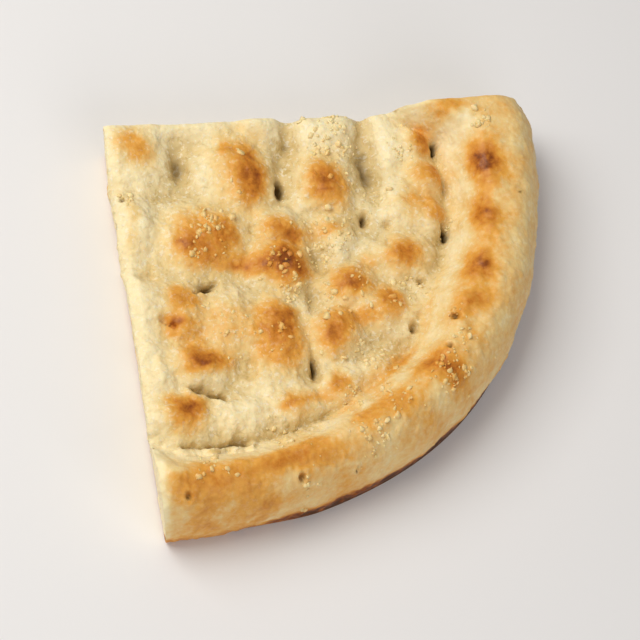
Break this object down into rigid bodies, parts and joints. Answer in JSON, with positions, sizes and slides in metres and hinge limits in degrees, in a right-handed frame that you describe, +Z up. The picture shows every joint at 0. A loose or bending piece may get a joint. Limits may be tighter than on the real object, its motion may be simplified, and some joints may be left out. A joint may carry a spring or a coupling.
{
  "type": "naan bread wedge",
  "caption": "Wedge of a round finger-dimpled flatbread with a raised baked rim, straight cut faces and a flat underside to rest on.",
  "frame": {"origin": "middle of the bounding box in plan, at the height of the flat underside", "axes": "+Z up through the thickness; one cut edge runs along +X at the high-Y side; the other cut runs to -Y at the low-X side; the curved rim faces +X and -Y"},
  "size_m": [0.1034, 0.0944, 0.0215],
  "materials": {
    "baked_crust": "matte"
  },
  "bodies": {
    "root": {"naan_wedge": "baked_crust"}
  },
  "joints": []
}
